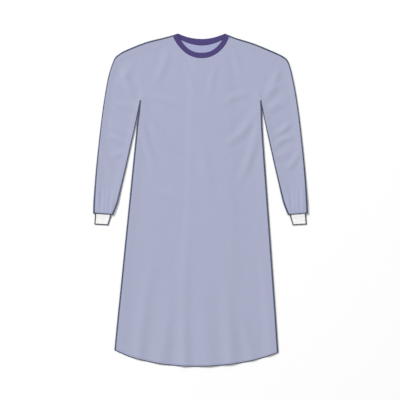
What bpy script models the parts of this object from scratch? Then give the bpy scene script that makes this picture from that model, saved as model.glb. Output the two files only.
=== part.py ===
"""Surgical gown laid flat on its back: front up, neck towards +Y, one open back under it.

Metres, +Z up. The origin is on the surface, at the middle of the gown's length and width.
Every cloth piece is a wall lofted between rows of points on its outer and inner face.
"""
import math
from collections import namedtuple

import bmesh
import bpy

# Cloth and seams
WALL = 0.0012
SEAM_GAP = 0.0004
LAYER = 0.0015
LOOSE_LAYER = 0.0016

# A soft fold where the cloth turns over at the sides, shoulders and sleeves
FOLD_RADIUS = 0.0024
FOLD_INSET = (0.0, 0.0, 0.22, 1.0)
FOLD_RISE = (0.0, 0.40, 0.75, 1.0)
FLAT_INSET = (0.0, 0.0010, 0.0022, 0.0036)
TUBE_INSET = (0.0, 0.29, 1.0)
TUBE_RISE = (0.0, 0.71, 1.0)
LIFT_REACH = 0.045
SHARP_ANGLE = math.radians(50.0)

# Body: level of the side edge, and half the width there
BODY_SIDE = (
    (-0.567, 0.3072),
    (-0.452, 0.2979),
    (-0.339, 0.2882),
    (-0.227, 0.2787),
    (-0.114, 0.2690),
    (-0.017, 0.2605),
    (0.103, 0.2503),
    (0.223, 0.2399),
    (0.283, 0.2352),
    (0.313, 0.2328),
    (0.343, 0.2308),
    (0.373, 0.2284),
)
SIDE_LEVELS = (-0.567, -0.520, -0.460, -0.390, -0.300, -0.200, -0.100, 0.000,
               0.090, 0.170, 0.240, 0.300, 0.343, 0.365)
SKIRT_LEAN = 0.0142
SKIRT_SHIFT = 0.0022
SHIFT_LEVELS = (0.345, 0.265)
HEM_DIP = 0.057
HEM_POWER = 2.2
HEM_REACH = 0.367

# How the gown happens to lie: right shoulder and hem corner higher, left hem corner lower,
# right sleeve drawn in at its shoulder, and the neck moved to the left
LIE = (
    # move in x, move in y, levels over which it sets in, places over which it sets in
    (0.0, 0.0080, (0.373, 0.520), (-0.060, -0.260)),
    (0.0, -0.0042, (-0.300, -0.520), (0.050, 0.300)),
    (0.0, 0.0040, (-0.300, -0.520), (-0.265, -0.315)),
    (0.0045, 0.0, (0.440, 0.520), (-0.285, -0.315)),
    (0.0041, 0.0, (0.440, 0.520), (-0.140, -0.075), (0.140, 0.075)),
)

# Armhole: from the armpit up to the shoulder point
ARMPIT = (0.2286, 0.373)
SHOULDER = (0.2220, 0.5782)
ARMHOLE_BOW = 0.016
ARMHOLE_STEPS = 6
TOP_SHAPE_POWER = 1.5

# Shoulder line between the shoulder point and the neck: distance from the middle, level
SHOULDER_LINE = (
    (0.1050, 0.6172),
    (0.1350, 0.6066),
    (0.1575, 0.5999),
    (0.1800, 0.5932),
    (0.2025, 0.5856),
    (0.2220, 0.5782),
)
SHOULDER_COLUMNS = (0.196, 0.166, 0.136)

# Neck: half width and levels of the seam, and of the binding's free edge
NECK_HALF = 0.105
NECK_POINT = 0.6172
FRONT_NECK_LOW = 0.5316
FRONT_NECK_POWER = 2.25
FRONT_NECK_ROUND = 0.5
BACK_NECK_LOW = 0.5795
BACK_NECK_POWER = 1.95
EDGE_HALF = 0.088
EDGE_POINT = 0.6242
FRONT_EDGE_LOW = 0.5518
FRONT_EDGE_POWER = 2.5
FRONT_EDGE_ROUND = 0.35
BACK_EDGE_LOW = 0.6036
BACK_EDGE_POWER = 1.95
NECK_ANGLES = (0, 15, 30, 45, 60, 75, 90)
BINDING_TURN = (-90, -45, 0, 45, 90)
TURN_CLEAR = 0.0024

# Back opening: the neck angle where each back panel's free edge starts
INNER_EDGE_ANGLE = 60
OUTER_EDGE_ANGLE = -15
STEP_START_ANGLE = -30

# Sleeve folds: the outer fold runs on from the shoulder, the inner one from the armpit
SLEEVE_FOLDS = (
    # outer x, outer y, inner x, inner y, fold radius, height of the middle
    (0.2220, 0.5782, 0.2286, 0.3730, 0.0024, 0.0028),
    (0.2820, 0.5525, 0.2312, 0.3460, 0.0024, 0.0028),
    (0.3080, 0.5395, 0.2345, 0.3250, 0.0024, 0.0028),
    (0.3252, 0.5255, 0.2388, 0.3030, 0.0024, 0.0028),
    (0.3372, 0.4945, 0.2446, 0.2760, 0.0024, 0.0028),
    (0.3462, 0.4560, 0.2506, 0.2480, 0.0024, 0.0028),
    (0.3562, 0.4050, 0.2582, 0.2140, 0.0024, 0.0028),
    (0.3652, 0.3480, 0.2670, 0.1740, 0.0024, 0.0028),
    (0.3737, 0.2830, 0.2768, 0.1300, 0.0024, 0.0028),
    (0.3817, 0.2130, 0.2861, 0.0890, 0.0024, 0.0028),
    (0.3892, 0.1420, 0.2944, 0.0530, 0.0024, 0.0028),
    (0.3955, 0.0740, 0.3018, 0.0200, 0.0026, 0.0032),
    (0.4000, 0.0170, 0.3084, -0.0080, 0.0031, 0.0048),
    (0.4022, -0.0200, 0.3172, -0.0330, 0.0035, 0.0068),
    (0.4030, -0.0497, 0.3266, -0.0553, 0.0036, 0.0072),
)
BOW_RINGS = 2

# Knitted cuff, tucked into the sleeve's end
CUFF_FOLDS = (
    # outer x, outer y, inner x, inner y, fold radius, height of its underside
    (0.3955, -0.0340, 0.3345, -0.0385, 0.0019, 0.0015),
    (0.3950, -0.0540, 0.3360, -0.0585, 0.0019, 0.0015),
    (0.3955, -0.0650, 0.3385, -0.0695, 0.0019, 0.0),
    (0.3965, -0.0780, 0.3425, -0.0820, 0.0019, 0.0),
    (0.3975, -0.0910, 0.3460, -0.0940, 0.0019, 0.0),
)
CUFF_STEPS = 4

COLOURS = {
    # base colour, roughness
    "gown_fabric": ((0.402, 0.423, 0.571, 1.0), 0.85),
    "neck_binding": ((0.112, 0.080, 0.258, 1.0), 0.75),
    "cuff_knit": ((0.93, 0.93, 0.92, 1.0), 0.90),
}


Row = namedtuple("Row", "level half share top_index")
Panel = namedtuple("Panel", "seam height upper")


def clear_scene():
    for item in list(bpy.data.objects):
        bpy.data.objects.remove(item, do_unlink=True)


def make_material(slot):
    colour, roughness = COLOURS[slot]
    material = bpy.data.materials.new(slot)
    material.use_nodes = True
    shader = material.node_tree.nodes["Principled BSDF"]
    shader.inputs["Base Color"].default_value = colour
    shader.inputs["Roughness"].default_value = roughness
    shader.inputs["Metallic"].default_value = 0.0
    material.diffuse_color = colour
    return material


def mix(low, high, share):
    return low + (high - low) * share


def between(value, start, end):
    """0 up to the start, 1 from the end on, soft between them."""
    share = min(1.0, max(0.0, (value - start) / (end - start)))
    return share * share * (3.0 - 2.0 * share)


def fade(distance, reach):
    """1 at distance 0, falling softly to 0 at the reach."""
    return between(abs(distance), reach, 0.0)


def read_table(rows, value):
    """Straight-line reading of a two-column table with rising keys."""
    for (low_key, low), (high_key, high) in zip(rows, rows[1:]):
        if value <= high_key:
            share = max(0.0, (value - low_key) / (high_key - low_key))
            return mix(low, high, share)
    return rows[-1][1]


def neck_curve(angle, half, point, low, power, roundness=0.0):
    """Point on a neck curve: 0 degrees is its lowest point, 90 the shoulder end."""
    share = math.sin(math.radians(angle))
    rise = mix(abs(share) ** power, 1.0 - math.cos(math.radians(angle)), roundness)
    return half * share, mix(low, point, rise)


def front_seam(angle):
    return neck_curve(angle, NECK_HALF, NECK_POINT, FRONT_NECK_LOW, FRONT_NECK_POWER,
                      FRONT_NECK_ROUND)


def front_edge(angle):
    return neck_curve(angle, EDGE_HALF, EDGE_POINT, FRONT_EDGE_LOW, FRONT_EDGE_POWER,
                      FRONT_EDGE_ROUND)


def back_seam(angle):
    return neck_curve(angle, NECK_HALF, NECK_POINT, BACK_NECK_LOW, BACK_NECK_POWER)


def back_edge(angle):
    return neck_curve(angle, EDGE_HALF, EDGE_POINT, BACK_EDGE_LOW, BACK_EDGE_POWER)


def lean(y):
    """The skirt lies slightly to one side below the armpits."""
    return -SKIRT_LEAN * max(0.0, ARMPIT[1] - y) - SKIRT_SHIFT * between(y, *SHIFT_LEVELS)


def as_laid(point):
    """A point moved to where it lies, a little unevenly from side to side."""
    x, y, z = point
    by_x = by_y = 0.0
    for move_x, move_y, levels, *across in LIE:
        share = between(y, *levels)
        for places in across:
            share = share * between(x, *places)
        by_x += move_x * share
        by_y += move_y * share
    return x + by_x, y + by_y, z


def armhole_point(step):
    """Armhole corner points, shared by the body panels and the sleeve."""
    share = step / ARMHOLE_STEPS
    x = mix(ARMPIT[0], SHOULDER[0], share) - ARMHOLE_BOW * math.sin(math.pi * share)
    return x, mix(ARMPIT[1], SHOULDER[1], share)


ARMHOLE = tuple(armhole_point(step) for step in range(ARMHOLE_STEPS + 1))
ARMHOLE_BY_LEVEL = tuple((y, x) for x, y in ARMHOLE)


def column_places():
    """Columns across the panels, as (distance from the middle at the top, neck angle or None)."""
    right = [(front_seam(angle)[0], angle) for angle in NECK_ANGLES]
    right += [(x, None) for x in reversed(SHOULDER_COLUMNS)]
    left = [(-x, -angle if angle else None) for x, angle in right[1:]]
    return list(reversed(left)) + right


def top_level(column, seam):
    """Level of a panel's top edge: the shoulder line, or the neck seam inside it."""
    place, angle = column
    if angle is not None and abs(angle) < NECK_ANGLES[-1]:
        return seam(angle)[1]
    return read_table(SHOULDER_LINE, abs(place))


def is_shoulder(column):
    return abs(column[0]) >= NECK_HALF - SEAM_GAP


def panel_rows():
    """Rows of a body panel from hem to top.

    level and half are the side edge's height and half width. share is how much of the top
    edge's shape the row takes. top_index counts the rows that turn over at the shoulder.
    """
    rows = [Row(y, read_table(BODY_SIDE, y), 0.0, None) for y in SIDE_LEVELS]
    for step, (x, y) in enumerate(ARMHOLE[:-1]):
        rows.append(Row(y, x, (step / ARMHOLE_STEPS) ** TOP_SHAPE_POWER, None))
    for index in reversed(range(len(FOLD_INSET))):
        rows.append(Row(SHOULDER[1], SHOULDER[0], 1.0, index))
    return rows


def is_folded(row):
    """The side edge turns over below the armpit only."""
    return row.level < ARMPIT[1]


def front_underside(place):
    """Height of the front's underside: it lies over one or two back layers."""
    inner = front_seam(INNER_EDGE_ANGLE)[0]
    outer = front_seam(OUTER_EDGE_ANGLE)[0]
    start = front_seam(STEP_START_ANGLE)[0]
    if place < outer:
        return mix(2.0 * LAYER, LOOSE_LAYER, min(1.0, (outer - place) / (outer - start)))
    flat_end = front_seam(NECK_ANGLES[-2])[0]
    past = max(0.0, place - flat_end) / (SHOULDER_COLUMNS[-1] - flat_end)
    return mix(2.0 * LAYER, LOOSE_LAYER, min(1.0, past)) if place > inner else 2.0 * LAYER


def inner_underside(place):
    """Height of the inner back panel's underside: it steps over the outer one."""
    outer = front_seam(OUTER_EDGE_ANGLE)[0]
    start = front_seam(STEP_START_ANGLE)[0]
    return LAYER * min(1.0, max(0.0, (place - start) / (outer - start)))


def floor_level(place):
    """The outer back panel lies on the surface all over."""
    return 0.0


def fold_inset(index, inside):
    """How far a fold's point stands in from its edge, on the outer or the inner face."""
    if inside:
        return WALL + (FOLD_RADIUS - WALL) * FOLD_INSET[index]
    return FOLD_RADIUS * FOLD_INSET[index]


def panel_height(panel, place, turn, lift, inside):
    """Height of a face: flat over what lies below, lifted near a fold, turned at its edge."""
    if panel.upper:
        flat = panel.height(place) + WALL
        raised = mix(flat, 2.0 * FOLD_RADIUS, lift)
        rim = FOLD_RADIUS + SEAM_GAP / 2.0
        return mix(raised - WALL if inside else raised, rim, turn)
    flat = panel.height(place) + (WALL if inside else 0.0)
    return mix(flat, FOLD_RADIUS - SEAM_GAP / 2.0, turn)


def hem_drop(row, across):
    """The hem bows down in the middle, and the rows above it less and less."""
    above = (row.level - SIDE_LEVELS[0]) / HEM_REACH
    return HEM_DIP * (1.0 - abs(across) ** HEM_POWER) * max(0.0, 1.0 - above) ** 2


def column_point(panel, row, column, inside):
    """A point of a panel away from its side edges."""
    place = column[0]
    across = place / SHOULDER[0]
    top = top_level(column, panel.seam)
    y = row.level + (top - SHOULDER[1]) * row.share - hem_drop(row, across)
    turn = 0.0
    if row.top_index is not None and is_shoulder(column):
        y -= fold_inset(row.top_index, inside)
        turn = 1.0 - FOLD_RISE[row.top_index]
    elif row.top_index is not None:
        y -= FLAT_INSET[row.top_index]
    from_side = (1.0 - abs(across)) * row.half if is_folded(row) else LIFT_REACH
    from_top = LIFT_REACH if row.top_index is None or not is_shoulder(column) else 0.0
    lift = fade(min(from_side, from_top), LIFT_REACH)
    return lean(row.level) + across * row.half, y, panel_height(panel, place, turn, lift, inside)


def side_point(panel, row, sign, index, inside):
    """A point of a panel near its side edge, folded below the armpit, flat along the armhole."""
    inset = fold_inset(index, inside) if is_folded(row) else FLAT_INSET[index]
    turn = 1.0 - FOLD_RISE[index] if is_folded(row) else 0.0
    half = row.half
    y = row.level
    if row.top_index is not None:
        y -= fold_inset(row.top_index, inside)
        turn = 1.0 - FOLD_RISE[row.top_index]
        half = read_table(ARMHOLE_BY_LEVEL, y)
    at_fold = row.level <= ARMPIT[1] or row.top_index is not None
    lift = 1.0 if at_fold else 0.0
    x = lean(row.level) + sign * (half - SEAM_GAP / 2.0 - inset)
    return x, y, panel_height(panel, sign * SHOULDER[0], turn, lift, inside)


def panel_face(panel, columns, sides, inside):
    """Rows of points over one face of a panel, with edge points on the named sides."""
    rows = []
    indices = range(len(FOLD_INSET))
    for row in panel_rows():
        points = []
        if -1 in sides:
            points += [side_point(panel, row, -1, index, inside) for index in indices]
        points += [column_point(panel, row, column, inside) for column in columns]
        if 1 in sides:
            points += [side_point(panel, row, 1, index, inside) for index in reversed(indices)]
        rows.append(points)
    return rows


def body_panel(name, panel, columns, sides, material, collection):
    outer = panel_face(panel, columns, sides, False)
    inner = panel_face(panel, columns, sides, True)
    return cloth_wall(name, outer, inner, False, material, collection)


def cloth_wall(name, outer, inner, closed, material, collection):
    """A wall of cloth between two faces given as matching rows of points.

    Closed rows make a tube. The rims are filled at the ends, and at the sides of an open wall.
    """
    shape = bmesh.new()
    faces = [[[shape.verts.new(as_laid(point)) for point in row] for row in rows]
             for rows in (outer, inner)]
    count = len(outer[0])
    spans = count if closed else count - 1
    for grid, order in zip(faces, (1, -1)):
        for lower, upper in zip(grid, grid[1:]):
            for index in range(spans):
                after = (index + 1) % count
                corners = (lower[index], lower[after], upper[after], upper[index])
                shape.faces.new(corners[::order])
    borders = []
    for end in (0, -1):
        borders.append(([(faces[0][end][i], faces[1][end][i]) for i in range(count)], closed))
        if not closed:
            borders.append(([(a[end], b[end]) for a, b in zip(*faces)], False))
    for pairs, ring in borders:
        following = pairs[1:] + (pairs[:1] if ring else [])
        for (a, b), (c, d) in zip(pairs, following):
            shape.faces.new((a, b, d, c))
    bmesh.ops.recalc_face_normals(shape, faces=shape.faces)
    mesh = bpy.data.meshes.new(name)
    shape.to_mesh(mesh)
    shape.free()
    mesh.shade_smooth()
    mesh.set_sharp_from_angle(angle=SHARP_ANGLE)
    item = bpy.data.objects.new(name, mesh)
    item.data.materials.append(material)
    collection.objects.link(item)
    return item


def unit(x, y):
    length = math.hypot(x, y)
    return x / length, y / length


def inward(folds, number, first, sign):
    """Direction into the tube, square to one of its fold lines at a ring."""
    before = folds[max(0, number - 1)]
    after = folds[min(len(folds) - 1, number + 1)]
    run_x, run_y = unit(after[first] - before[first], after[first + 1] - before[first + 1])
    return sign * run_y, -sign * run_x


def fold_points(edge, into, radius, floor, inside):
    """Points over and under a tube's fold, from its outermost line to its flat layers."""
    bend = radius - WALL if inside else radius
    start = WALL if inside else 0.0
    top = []
    bottom = []
    for inset, rise in zip(TUBE_INSET, TUBE_RISE):
        x = edge[0] + into[0] * (start + bend * inset)
        y = edge[1] + into[1] * (start + bend * inset)
        top.append((x, y, floor + radius + bend * rise))
        bottom.append((x, y, floor + radius - bend * rise))
    return top, bottom


def tube_ring(outer, outer_in, inner, inner_in, radius, middle, floor, places, inside):
    """A flattened ring: over the top from the outer fold to the inner one, and back below."""
    wall = WALL if inside else 0.0
    top, bottom = fold_points(outer, outer_in, radius, floor, inside)
    length = math.hypot(outer[0] - inner[0], outer[1] - inner[1])
    for share, x, y in places:
        lift = fade(length * min(share, 1.0 - share), LIFT_REACH)
        top.append((x, y, floor + mix(middle, 2.0 * radius, lift) - wall))
        bottom.append((x, y, floor + wall))
    far_top, far_bottom = fold_points(inner, inner_in, radius, floor, inside)
    top += far_top[::-1]
    bottom += far_bottom[::-1]
    return top + bottom[-2:0:-1]


def armhole_bow(share):
    """How far the armhole's corner points stand inside the straight line between its ends."""
    level = mix(ARMPIT[1], SHOULDER[1], share)
    return mix(ARMPIT[0], SHOULDER[0], share) - read_table(ARMHOLE_BY_LEVEL, level)


def mirrored(points, sign):
    return [(sign * x, y, z) for x, y, z in points]


def sleeve(name, sign, material, collection):
    stations = [step / ARMHOLE_STEPS for step in range(ARMHOLE_STEPS - 1, 0, -1)]
    faces = ([], [])
    for number, fold in enumerate(SLEEVE_FOLDS):
        outer_x, outer_y, inner_x, inner_y, radius, middle = fold
        shift = 0.0 if number else SEAM_GAP / 2.0
        bow = fade(number, BOW_RINGS)
        outer = (outer_x + shift, outer_y)
        inner = (inner_x + shift, inner_y)
        places = [(share, mix(inner[0], outer[0], share) - bow * armhole_bow(share),
                   mix(inner[1], outer[1], share)) for share in stations]
        outer_in = inward(SLEEVE_FOLDS, number, 0, 1.0)
        if number == 0:
            outer_in = unit(places[0][1] - outer[0], places[0][2] - outer[1])
        inner_in = inward(SLEEVE_FOLDS, number, 2, -1.0)
        for inside in (False, True):
            ring = tube_ring(outer, outer_in, inner, inner_in, radius, middle, 0.0, places,
                             inside)
            faces[inside].append(mirrored(ring, sign))
    return cloth_wall(name, faces[0], faces[1], True, material, collection)


def cuff(name, sign, material, collection):
    stations = [step / CUFF_STEPS for step in range(CUFF_STEPS - 1, 0, -1)]
    faces = ([], [])
    for number, fold in enumerate(CUFF_FOLDS):
        outer_x, outer_y, inner_x, inner_y, radius, floor = fold
        places = [(share, mix(inner_x, outer_x, share), mix(inner_y, outer_y, share))
                  for share in stations]
        outer_in = inward(CUFF_FOLDS, number, 0, 1.0)
        inner_in = inward(CUFF_FOLDS, number, 2, -1.0)
        for inside in (False, True):
            ring = tube_ring((outer_x, outer_y), outer_in, (inner_x, inner_y), inner_in,
                             radius, 2.0 * radius, floor, places, inside)
            faces[inside].append(mirrored(ring, sign))
    return cloth_wall(name, faces[0], faces[1], True, material, collection)


def binding_section(seam, edge, clear, height):
    """Seam edge, middle and free edge of the binding, just clear of the panel."""
    length = math.hypot(edge[0] - seam[0], edge[1] - seam[1])
    points = []
    for share in (clear / length, 0.5, 1.0):
        x = mix(seam[0], edge[0], share)
        y = mix(seam[1], edge[1], share)
        points.append((x, y, height(x)))
    return points


def binding_turn(sign, turn, inside):
    """The binding turning over the shoulder: -90 degrees is the back layer, 90 the front."""
    seam = (sign * NECK_HALF, NECK_POINT)
    edge = (sign * EDGE_HALF, EDGE_POINT)
    along = unit(edge[0] - seam[0], edge[1] - seam[1])
    out = (sign * along[1], sign * -along[0])
    bend = FOLD_RADIUS - WALL if inside else FOLD_RADIUS
    back = bend * math.cos(math.radians(turn)) - FOLD_RADIUS
    z = FOLD_RADIUS + bend * math.sin(math.radians(turn))
    return binding_section((seam[0] + out[0] * back, seam[1] + out[1] * back),
                           (edge[0] + out[0] * back, edge[1] + out[1] * back),
                           TURN_CLEAR, lambda x: z)


def binding_face(inside):
    """Rows of one face, from the inner back panel's end round the front to the outer panel's."""
    open_angles = [angle for angle in NECK_ANGLES if angle < NECK_ANGLES[-1]]
    whole = [-angle for angle in reversed(open_angles[1:])] + open_angles
    wall = WALL if inside else 0.0
    rows = []
    for angle in reversed([a for a in whole if a <= INNER_EDGE_ANGLE]):
        rows.append(binding_section(back_seam(angle), back_edge(angle), SEAM_GAP,
                                    lambda x: inner_underside(x) + wall))
    rows += [binding_turn(-1, turn, inside) for turn in BINDING_TURN]
    for angle in whole:
        rows.append(binding_section(front_seam(angle), front_edge(angle), SEAM_GAP,
                                    lambda x: front_underside(x) + WALL - wall))
    rows += [binding_turn(1, turn, inside) for turn in BINDING_TURN[::-1]]
    for angle in [a for a in reversed(whole) if a >= OUTER_EDGE_ANGLE]:
        rows.append(binding_section(back_seam(angle), back_edge(angle), SEAM_GAP,
                                    lambda x: wall))
    return rows


def build():
    clear_scene()
    gown = bpy.data.collections.new("surgical_gown")
    bpy.context.scene.collection.children.link(gown)
    slots = {slot: make_material(slot) for slot in COLOURS}
    cloth = slots["gown_fabric"]
    columns = column_places()
    inner_end = front_seam(INNER_EDGE_ANGLE)[0] + SEAM_GAP
    outer_end = front_seam(OUTER_EDGE_ANGLE)[0] - SEAM_GAP
    body_panel("front", Panel(front_seam, front_underside, True), columns, (-1, 1), cloth, gown)
    body_panel("back_right", Panel(back_seam, inner_underside, False),
               [column for column in columns if column[0] <= inner_end], (-1,), cloth, gown)
    body_panel("back_left", Panel(back_seam, floor_level, False),
               [column for column in columns if column[0] >= outer_end], (1,), cloth, gown)
    for side, sign in (("left", 1), ("right", -1)):
        sleeve("sleeve_" + side, sign, cloth, gown)
        cuff("cuff_" + side, sign, slots["cuff_knit"], gown)
    cloth_wall("neck_binding", binding_face(False), binding_face(True), False,
               slots["neck_binding"], gown)


build()
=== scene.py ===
"""Surgical gown laid flat: its fine cloth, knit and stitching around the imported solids.

Metres, in the frame of the solids: +X to the gown's left sleeve, +Y from hem to neck, +Z up.
"""
import math

import bmesh
import bpy
import numpy as np
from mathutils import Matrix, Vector


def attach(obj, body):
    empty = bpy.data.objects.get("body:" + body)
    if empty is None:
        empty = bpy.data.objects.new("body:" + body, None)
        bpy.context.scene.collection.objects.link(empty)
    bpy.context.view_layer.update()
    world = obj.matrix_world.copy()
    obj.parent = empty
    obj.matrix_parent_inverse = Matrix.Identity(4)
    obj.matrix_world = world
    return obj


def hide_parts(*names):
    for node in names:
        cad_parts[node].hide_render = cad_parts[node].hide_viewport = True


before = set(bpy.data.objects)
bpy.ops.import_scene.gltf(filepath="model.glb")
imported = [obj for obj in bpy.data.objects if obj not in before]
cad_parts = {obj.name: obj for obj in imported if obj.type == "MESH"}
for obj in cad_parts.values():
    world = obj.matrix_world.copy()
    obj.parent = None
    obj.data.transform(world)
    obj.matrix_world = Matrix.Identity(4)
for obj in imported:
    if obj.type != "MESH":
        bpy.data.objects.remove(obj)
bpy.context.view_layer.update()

# Cloth, and the solids' wall whose outer face it follows
CLOTH = 0.0005
WALL = 0.0012
LAYER = 0.0015
LOOSE_LAYER = 0.0016
FOLD_RADIUS = 0.0024
LIFT_REACH = 0.045
SEAM_GAP = 0.0001

# Body: level of the side edge, and half the width there
BODY_SIDE = (
    (-0.567, 0.3072),
    (-0.452, 0.2979),
    (-0.339, 0.2882),
    (-0.227, 0.2787),
    (-0.114, 0.2690),
    (-0.017, 0.2605),
    (0.103, 0.2503),
    (0.223, 0.2399),
    (0.283, 0.2352),
    (0.313, 0.2328),
    (0.343, 0.2308),
    (0.373, 0.2284),
)
SKIRT_LEAN = 0.0142
SKIRT_SHIFT = 0.0022
SHIFT_LEVELS = (0.345, 0.265)
HEM_LEVEL = -0.567
HEM_DIP = 0.057
HEM_POWER = 2.2
HEM_REACH = 0.367

# How the gown happens to lie: right shoulder and hem corner higher, left hem corner lower,
# right sleeve drawn in at its shoulder, and the neck moved to the left
LIE = (
    # move in x, move in y, levels over which it sets in, places over which it sets in
    (0.0, 0.0080, (0.373, 0.520), (-0.060, -0.260)),
    (0.0, -0.0042, (-0.300, -0.520), (0.050, 0.300)),
    (0.0, 0.0040, (-0.300, -0.520), (-0.265, -0.315)),
    (0.0045, 0.0, (0.440, 0.520), (-0.285, -0.315)),
    (0.0041, 0.0, (0.440, 0.520), (-0.140, -0.075), (0.140, 0.075)),
)

# Armhole, shoulder line and neck
ARMPIT = (0.2286, 0.373)
SHOULDER = (0.2220, 0.5782)
ARMHOLE_BOW = 0.016
TOP_SHAPE_POWER = 1.5
ARMPIT_BLEND = 0.010
SHOULDER_LINE = (
    (0.1050, 0.6172),
    (0.1350, 0.6066),
    (0.1575, 0.5999),
    (0.1800, 0.5932),
    (0.2025, 0.5856),
    (0.2220, 0.5782),
)
NECK_HALF = 0.105
NECK_POINT = 0.6172
FRONT_NECK_LOW = 0.5316
FRONT_NECK_POWER = 2.25
FRONT_NECK_ROUND = 0.5
BACK_NECK_LOW = 0.5795
BACK_NECK_POWER = 1.95
EDGE_HALF = 0.088
EDGE_POINT = 0.6242
FRONT_EDGE_LOW = 0.5518
FRONT_EDGE_POWER = 2.5
FRONT_EDGE_ROUND = 0.35
BACK_EDGE_LOW = 0.6036
BACK_EDGE_POWER = 1.95

# Angles round the neck: the back panels' free edges, where the layers step, and the corners
INNER_EDGE_ANGLE = 60
OUTER_EDGE_ANGLE = -15
STEP_START_ANGLE = -30
STEP_TOP_ANGLE = 75
STEP_END = 0.136
LAST_NECK_ANGLE = 84
CORNER_START = 68.0

# Sleeve folds: the outer fold runs on from the shoulder, the inner one from the armpit
SLEEVE_FOLDS = (
    # outer x, outer y, inner x, inner y, fold radius, height of the middle
    (0.2220, 0.5782, 0.2286, 0.3730, 0.0024, 0.0028),
    (0.2820, 0.5525, 0.2312, 0.3460, 0.0024, 0.0028),
    (0.3080, 0.5395, 0.2345, 0.3250, 0.0024, 0.0028),
    (0.3252, 0.5255, 0.2388, 0.3030, 0.0024, 0.0028),
    (0.3372, 0.4945, 0.2446, 0.2760, 0.0024, 0.0028),
    (0.3462, 0.4560, 0.2506, 0.2480, 0.0024, 0.0028),
    (0.3562, 0.4050, 0.2582, 0.2140, 0.0024, 0.0028),
    (0.3652, 0.3480, 0.2670, 0.1740, 0.0024, 0.0028),
    (0.3737, 0.2830, 0.2768, 0.1300, 0.0024, 0.0028),
    (0.3817, 0.2130, 0.2861, 0.0890, 0.0024, 0.0028),
    (0.3892, 0.1420, 0.2944, 0.0530, 0.0024, 0.0028),
    (0.3955, 0.0740, 0.3018, 0.0200, 0.0026, 0.0032),
    (0.4000, 0.0170, 0.3084, -0.0080, 0.0031, 0.0048),
    (0.4022, -0.0200, 0.3172, -0.0330, 0.0035, 0.0068),
    (0.4030, -0.0497, 0.3266, -0.0553, 0.0036, 0.0072),
)
BOW_RINGS = 2.0

# Knitted cuff, tucked into the sleeve's end
CUFF_FOLDS = (
    # outer x, outer y, inner x, inner y, fold radius, height of its underside
    (0.3955, -0.0340, 0.3345, -0.0385, 0.0019, 0.0015),
    (0.3950, -0.0540, 0.3360, -0.0585, 0.0019, 0.0015),
    (0.3955, -0.0650, 0.3385, -0.0695, 0.0019, 0.0),
    (0.3965, -0.0780, 0.3425, -0.0820, 0.0019, 0.0),
    (0.3975, -0.0910, 0.3460, -0.0940, 0.0019, 0.0),
)

# Fineness of the cloth, and the columns beside a panel's free edge
ROW_STEP = 0.007
COLUMN_STEP = 0.007
LEAST_COLUMN_STEP = 0.0005
SLACK = 1e-6
RING_STEP = 0.006
FOLD_STEPS = 5
NECK_COLUMNS = 61
SLEEVE_FLAT_POINTS = 26
SIDE_CLEAR = 0.008
TOP_CLEAR = 0.007
EDGE_INSETS = (0.0, 0.0006, 0.0016, 0.0040, 0.0080, 0.0088, 0.0096, 0.0120, 0.0140)
SHARP_ANGLE = 50.0

# Hems: depth and end of the turned-up cloth, its rows of points, and the one that is stitched
HEM_DEPTH = 0.0085
HEM_DEPTH_END = 0.0016
HEM_ROWS = (0.0, 0.0006, 0.0014, 0.0022, 0.0030, 0.0038, 0.0046, 0.0056, 0.0062, 0.0070, 0.0078,
            0.0088, 0.0100, 0.0130, 0.0170, 0.0220)
HEM_STITCH_ROW = 8
HEM_STITCH_INSET = HEM_ROWS[HEM_STITCH_ROW]
HEM_THICK = 0.0005
STITCH_SINK = 0.00030
STITCH_SPREAD = 0.0009

# Creases of the front, the back and the sleeves, in metres. Height is up out of the cloth.
FRONT_CREASES = (
    # start x, start y, end x, end y, bow, half width, height, 1 if it runs off at its start
    (-0.232, -0.590, -0.158, -0.150, 0.012, 0.017, 0.0022, 1),
    (-0.150, -0.606, -0.104, -0.262, -0.008, 0.022, 0.0019, 1),
    (-0.062, -0.622, -0.052, -0.080, 0.010, 0.018, 0.0024, 1),
    (0.032, -0.622, 0.010, -0.330, 0.006, 0.024, 0.0018, 1),
    (0.112, -0.612, 0.070, -0.180, -0.012, 0.019, 0.0023, 1),
    (0.196, -0.598, 0.140, -0.300, 0.008, 0.016, 0.0019, 1),
    (0.262, -0.582, 0.196, 0.010, -0.010, 0.014, 0.0020, 1),
    (-0.218, 0.352, -0.060, 0.168, -0.020, 0.013, 0.0026, 0),
    (-0.222, 0.330, -0.150, 0.092, -0.014, 0.011, 0.0022, 0),
    (-0.200, 0.392, -0.050, 0.330, 0.012, 0.012, 0.0016, 0),
    (0.216, 0.350, 0.082, 0.196, 0.018, 0.013, 0.0024, 0),
    (0.218, 0.322, 0.134, 0.040, 0.016, 0.012, 0.0024, 0),
    (0.196, 0.404, 0.070, 0.352, -0.010, 0.011, 0.0015, 0),
    (-0.120, 0.586, -0.176, 0.420, 0.010, 0.012, 0.0016, 0),
    (0.122, 0.584, 0.170, 0.440, -0.010, 0.012, 0.0015, 0),
    (-0.070, 0.520, -0.030, 0.400, 0.008, 0.011, 0.0010, 0),
    (0.060, 0.520, 0.036, 0.380, -0.006, 0.011, 0.0011, 0),
    (-0.196, 0.040, -0.040, -0.030, 0.014, 0.016, 0.0014, 0),
    (0.060, 0.060, 0.196, -0.060, -0.012, 0.015, 0.0015, 0),
    (-0.020, 0.260, 0.034, 0.020, 0.012, 0.018, 0.0013, 0),
)
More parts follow.
